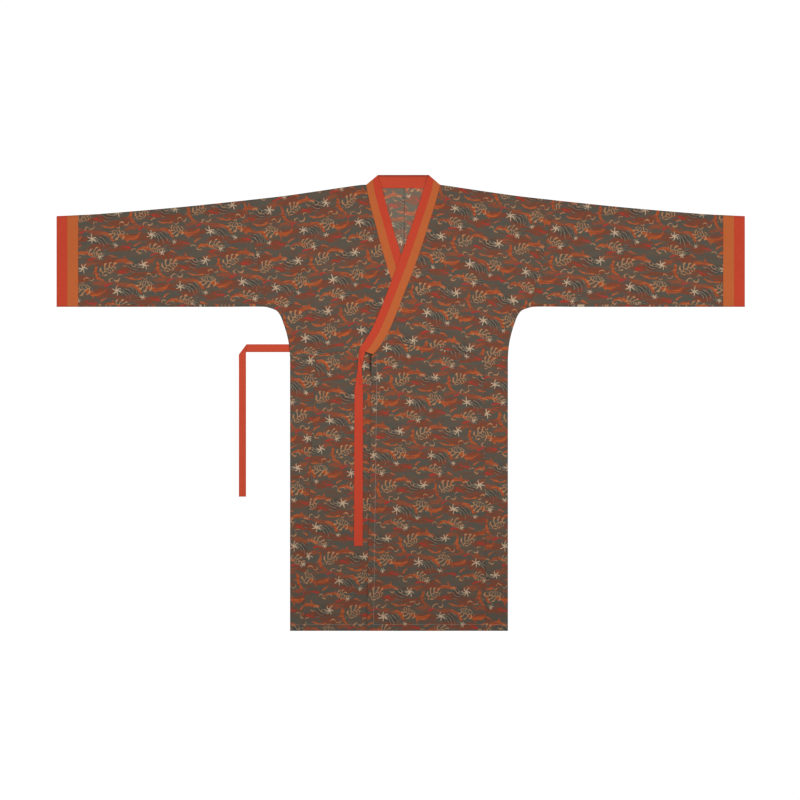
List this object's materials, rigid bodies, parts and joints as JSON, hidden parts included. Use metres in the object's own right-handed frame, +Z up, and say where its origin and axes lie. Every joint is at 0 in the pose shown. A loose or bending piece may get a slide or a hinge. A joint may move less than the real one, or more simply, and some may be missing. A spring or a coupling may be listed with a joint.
{
  "type": "cross-collar robe",
  "caption": "Cross-collar wrap robe laid flat, with straight sleeves, a two-colour collar and cuffs, and tie strips.",
  "frame": {"origin": "Middle of the underside of the robe's bounding box, on the surface it lies on.", "axes": "+X along the sleeves towards the wearer's left cuff, +Y from the hem to the neck, +Z up out of the front."},
  "size_m": [1.8998, 1.2582, 0.0048],
  "materials": {
    "printed_cloth": "Plain-weave cotton, olive grey with an all-over print in rust, orange, tan and cream, matt.",
    "red_cloth": "Plain-weave cotton, brick red, matt.",
    "orange_cloth": "Plain-weave cotton, burnt orange, matt."
  },
  "bodies": {
    "root": {"bodice_back_left": "printed_cloth", "bodice_back_right": "printed_cloth", "bodice_front_left": "printed_cloth", "bodice_front_right": "printed_cloth", "skirt_back_left": "printed_cloth", "skirt_back_right": "printed_cloth", "skirt_front_left": "printed_cloth", "skirt_front_right": "printed_cloth", "skirt_side_left": "printed_cloth", "skirt_side_right": "printed_cloth", "sleeve_left_back": "printed_cloth", "sleeve_left_front": "printed_cloth", "sleeve_right_back": "printed_cloth", "sleeve_right_front": "printed_cloth", "cuff_left_inner_back": "orange_cloth", "cuff_left_inner_front": "orange_cloth", "cuff_right_inner_back": "orange_cloth", "cuff_right_inner_front": "orange_cloth", "cuff_left_outer_back": "red_cloth", "cuff_left_outer_front": "red_cloth", "cuff_right_outer_back": "red_cloth", "cuff_right_outer_front": "red_cloth", "collar_left_red": "red_cloth", "collar_left_orange": "orange_cloth", "collar_right_red": "red_cloth", "collar_right_orange": "orange_cloth", "collar_back_red": "red_cloth", "collar_back_orange": "orange_cloth", "collar_back_facing": "red_cloth", "tie_front": "red_cloth", "tie_side_run": "red_cloth", "tie_side_drop": "red_cloth"}
  },
  "joints": []
}
